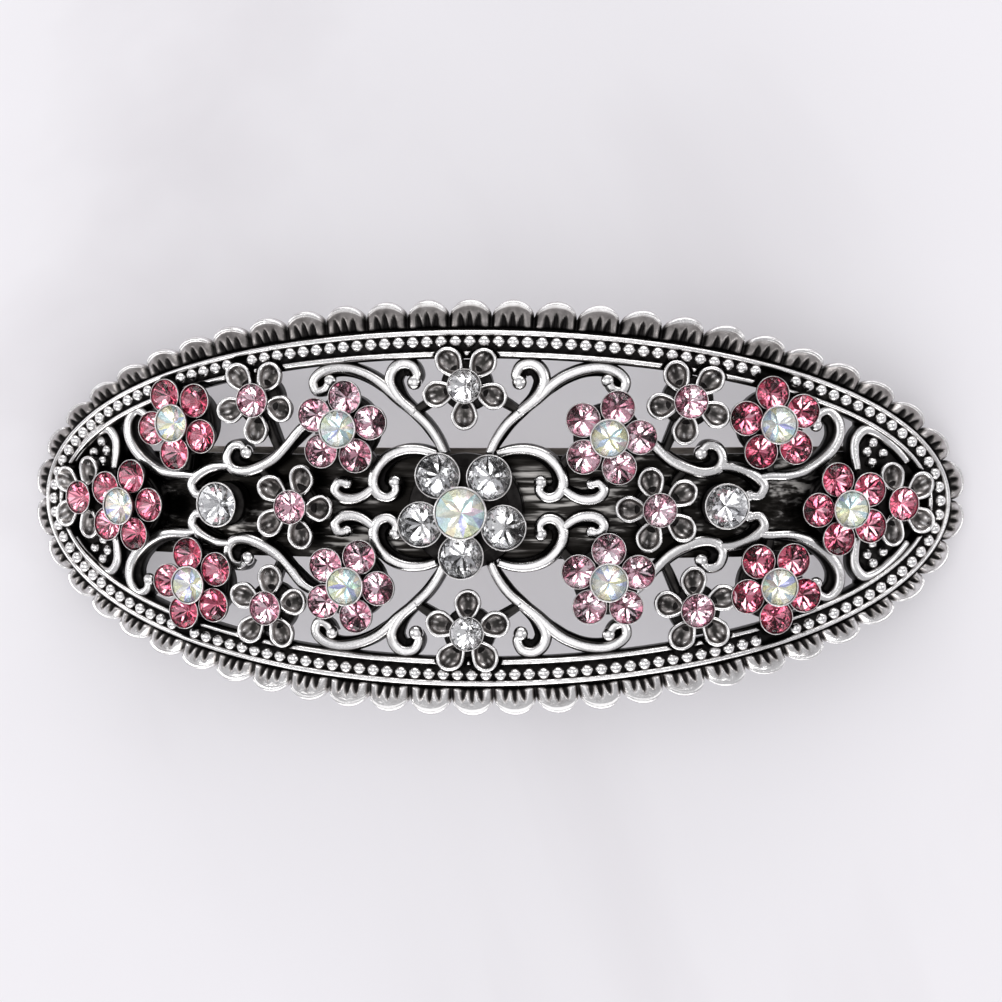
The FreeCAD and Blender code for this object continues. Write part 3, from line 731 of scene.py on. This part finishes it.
# down the outer side and in along the back
for drop, shrink, g in ((-0.75, 0.0, 0.62), (-1.25, 0.06, 0.62), (BACK, 0.25, 0.58)):
    row = []
    for j, k in enumerate(columns):
        phase, u, v = scallop_edge(j)
        u0 = START[0] * math.cos(k)
        v0 = START[1] * math.sin(k)
        row.append(wrap(u + (u0 - u) * shrink, v + (v0 - v) * shrink, drop))
    rows.append(row)
    wear_and_painted_light_rows.append([g] * len(columns))
rows.append([wrap(RAIL_OUT[0] * math.cos(k), RAIL_OUT[1] * math.sin(k), BACK) for k in columns])
wear_and_painted_light_rows.append([0.55] * len(columns))
border = Sheet()
border.grid(rows, wear_and_painted_light_rows)
obj = border.make("border_shell_edge", [SILVER])
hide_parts("border")


def ball(sheet, u, v, w, radius, squash=1.0):
    """Bead with a dark foot."""
    rings = 9
    profile = []
    for i in range(rings + 1):
        a = math.pi * i / rings - math.pi / 2
        z = math.sin(a)
        across = radius * math.cos(a) if 0 < i < rings else 0.0
        profile.append((across, w + radius * squash * z, step(z, -0.85, -0.30)))
    sheet.lathe(seat(u, v), profile, 14)


beads = Sheet()
for k in even_angles(BEAD_ROW, N_BEAD):
    u = BEAD_ROW[0] * math.cos(k)
    v = BEAD_ROW[1] * math.sin(k)
    if all(math.hypot(u - x, v - y) > reach + 0.30 for x, y, reach in SPOTS):
        ball(beads, u, v, 0.12, 0.63)
obj = beads.make("bead_row_round", [SILVER])
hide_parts("bead_row")

# ------------------------------------------------------------------ scroll panel
QUARTERS = [(1, 1), (1, -1), (-1, 1), (-1, -1)]
BAR_BACK = -1.38      # underside of bars, pads and end floors
LEDGE = 0.62          # width of the dark ledge on the inside of a tight bend


def smooth_line(points):
    """Catmull-Rom curve through the points."""
    per = 5
    out = []
    ext = [points[0]] + list(points) + [points[-1]]
    for i in range(1, len(ext) - 2):
        p0, p1, p2, p3 = ext[i - 1], ext[i], ext[i + 1], ext[i + 2]
        for s in range(per):
            t = s / per
            out.append(tuple(0.5 * (2 * b + (c - a) * t + (2 * a - 5 * b + 4 * c - d) * t * t
                                    + (3 * b - a - 3 * c + d) * t ** 3)
                             for a, b, c, d in zip(p0, p1, p2, p3)))
    out.append(points[-1])
    return out


# across a bar in half-widths, height above the face and wear, from its right foot to its left foot
RIDGE = [(-1.0, -0.46, 0.0), (-1.0, -0.18, 0.08), (-0.88, 0.06, 0.55), (-0.66, 0.20, 0.95),
         (-0.34, 0.26, 1.0), (0.0, 0.27, 0.92), (0.34, 0.26, 1.0), (0.66, 0.20, 0.95),
         (0.88, 0.06, 0.55), (1.0, -0.18, 0.08), (1.0, -0.46, 0.0)]


def scroll(sheet, line, half, lift, dull):
    """Round-backed bar along a line, with a dark ledge on the inside of its bends."""
    path = smooth_line(line)
    n = len(path)
    normals = []
    turns = []
    for i in range(n):
        a = path[max(0, i - 1)]
        b = path[min(n - 1, i + 1)]
        du = b[0] - a[0]
        dv = b[1] - a[1]
        size = math.hypot(du, dv) or 1.0
        normals.append((-dv / size, du / size))
    for i in range(n):
        a = normals[max(0, i - 2)]
        b = normals[min(n - 1, i + 2)]
        turns.append(max(-1.0, min(1.0, 1.6 * (a[0] * b[1] - a[1] * b[0]))))
    rows = []
    wear_and_painted_light_rows = []
    for i, (u, v) in enumerate(path):
        nu, nv = normals[i]
        near = turns[max(0, i - 3):i + 4]
        bend = sum(near) / len(near)
        s = i / (n - 1)
        h = half * (0.86 + 0.24 * math.sin(math.pi * s))
        right = 0.03 + LEDGE * max(0.0, -bend) * step(s, 0.0, 0.08)
        left = 0.03 + LEDGE * max(0.0, bend) * step(s, 0.0, 0.08)
        strip = [(-h - right, BAR_BACK, 0.0), (-h - right, -0.66, 0.0), (-h - 0.7 * right, -0.50, 0.04)]
        strip += [(x * h, w + lift, g * dull) for x, w, g in RIDGE]
        strip += [(h + 0.7 * left, -0.50, 0.04), (h + left, -0.66, 0.0), (h + left, BAR_BACK, 0.0)]
        rows.append([wrap(u + nu * x, v + nv * x, w) for x, w, g in strip])
        wear_and_painted_light_rows.append([g for x, w, g in strip])
    sheet.tube(rows, wear_and_painted_light_rows)


panel = Sheet()
for su, sv in QUARTERS:
    for i, (name, points) in enumerate(SCROLLS.items()):
        line = [(SCROLL_U0 + su * p, sv * q) for p, q in points]
        if name in QUIET:
            scroll(panel, line, 0.44, -0.20, 0.25)
        else:
            scroll(panel, line, 0.53, 0.012 * (i % 4), 1.0)    # small lifts keep crossing bars apart
        if name in BALLS:
            ball(panel, line[-1][0], line[-1][1], -0.14, BALLS[name] + 0.06, 0.75)

# round pads under the settings: u, v and radius
pads = [(u, v, 3.3) for name, u, v, turn in DARK + LIGHT + ENDS]
pads += [(u, v, 2.5) for name, u, v, turn in PINK_FLOWERS + CLEAR_FLOWERS]
pads += [(e[1], e[2], 2.5) for e in END_FLOWERS]
pads += [(u, v, 2.2) for name, u, v in COLLETS] + [(CENTRE[0], CENTRE[1], 5.6)]
for u, v, radius in pads:
    panel.lathe(seat(u, v), [(0, -0.03, 0.1), (radius - 0.15, -0.05, 0.12), (radius, -0.25, 0.1),
                             (radius, BAR_BACK, 0.0), (0, BAR_BACK, 0.0)], 44)

# solid floor in each end of the panel
for side in (-1, 1):
    loop = []
    steps = 16
    across = 20
    for i in range(steps + 1):
        p = SCROLL_U0 * side + FLOOR_U + (PANEL[0] - 0.05 - FLOOR_U - SCROLL_U0 * side) * i / steps
        u = side * p
        half = PANEL[1] * math.sqrt(max(0.0, 1.0 - (p / PANEL[0]) ** 2)) - 0.02
        half = max(half, 0.15)
        places = [half * (2.0 * j / across - 1.0) for j in range(across + 1)]
        top = [wrap(u, v, FLOOR_W) for v in places]
        loop.append(top + [wrap(u, v, BAR_BACK) for v in reversed(places)])
    panel.tube(loop, [[0.06] * (across + 1) + [0.0] * (across + 1)] * len(loop))
obj = panel.make("scroll_panel_bars", [SILVER])
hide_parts("scroll_panel")

beads = Sheet()
for su, sv in QUARTERS:
    for p, q in LEAF_BEADS:
        ball(beads, SCROLL_U0 + su * p, sv * q, -0.30, 0.56)
obj = beads.make("leaf_beads_round", [SILVER])
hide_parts("leaf_beads")

# ------------------------------------------------------------------ clip
# the CAD nodes that no piece stands for stay as they are and get a finer material
for name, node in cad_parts.items():
    if not node.hide_render:
        node.data.materials.clear()
        node.data.materials.append(ARM_STEEL if name == "clamp_arm" else STEEL)


# ------------------------------------------------------------------ floor, light, camera
def marble():
    """Pale floor with faint clouds, which glows a little, as a light table does."""
    mat, tree, shader = nodes_for("pale_floor")
    soft = noise(tree, 6.0, 5.0)
    soft.inputs["Distortion"].default_value = 1.6
    colour = ramp(tree, [(0.30, (0.52, 0.50, 0.52)), (0.46, (0.64, 0.625, 0.645)),
                         (0.70, (0.68, 0.665, 0.69))])
    tree.links.new(soft.outputs["Fac"], colour.inputs["Fac"])
    tree.links.new(colour.outputs["Color"], shader.inputs["Base Color"])
    shader.inputs["Roughness"].default_value = 0.5
    shader.inputs["Emission Color"].default_value = (0.97, 0.95, 1.0, 1.0)
    shader.inputs["Emission Strength"].default_value = 0.20
    return mat


REACH = 1.5           # half the floor's side, in metres
mesh = bpy.data.meshes.new("floor")
mesh.from_pydata([(-REACH, -REACH, 0), (REACH, -REACH, 0), (REACH, REACH, 0), (-REACH, REACH, 0)], [],
                 [(0, 1, 2, 3)])
mesh.materials.append(marble())
floor = bpy.data.objects.new("floor", mesh)
bpy.context.scene.collection.objects.link(floor)


def softbox(name, place, size, power):
    """Rectangular area light that faces the ornament."""
    target = Vector((0, 0, 0.01))
    data = bpy.data.lights.new(name, "AREA")
    data.shape = "RECTANGLE"
    data.size, data.size_y = size
    data.energy = power
    lamp = bpy.data.objects.new(name, data)
    lamp.location = place
    lamp.rotation_mode = "QUATERNION"
    lamp.rotation_quaternion = (target - Vector(place)).to_track_quat("-Z", "Y")
    bpy.context.scene.collection.objects.link(lamp)


softbox("front", (-0.05, -0.62, 0.17), (0.90, 0.24), 2.9)
softbox("back", (0.05, 0.64, 0.17), (0.90, 0.24), 2.7)
softbox("left", (-0.62, 0.05, 0.40), (0.22, 0.50), 0.9)
softbox("right", (0.62, 0.10, 0.38), (0.16, 0.45), 0.5)
softbox("overhead", (-0.05, 0.0, 1.00), (1.10, 0.90), 2.3)

world = bpy.data.worlds.new("studio")
bpy.context.scene.world = world
world.use_nodes = True
sky = world.node_tree.nodes["Background"]
sky.inputs["Color"].default_value = (0.90, 0.90, 0.93, 1.0)
sky.inputs["Strength"].default_value = 0.57

# camera: tilts, sideways offsets and distance (mm) of the view onto the ornament's crown
TILT_X = math.radians(3.62)
TILT_Y = math.radians(-7.80)
TILT_Z = math.radians(0.31)
OFFSET_X = -2.87
OFFSET_Y = -0.70
DISTANCE = 400.0
view = Matrix.Rotation(TILT_Z, 3, "Z") @ Matrix.Rotation(TILT_X, 3, "X") @ Matrix.Rotation(TILT_Y, 3, "Y")
spot = view.transposed() @ Vector((-OFFSET_X, -OFFSET_Y, DISTANCE))
data = bpy.data.cameras.new("camera")
data.lens = 149.5
data.sensor_width = 36.0
data.clip_start = 0.01
data.clip_end = 10.0
camera = bpy.data.objects.new("camera", data)
camera.rotation_mode = "QUATERNION"
camera.location = (MM * spot.x, MM * spot.y, MM * (spot.z + APEX_Z))
camera.rotation_quaternion = view.transposed().to_quaternion()
bpy.context.scene.collection.objects.link(camera)
bpy.context.scene.camera = camera
bpy.context.scene.view_settings.view_transform = "Standard"
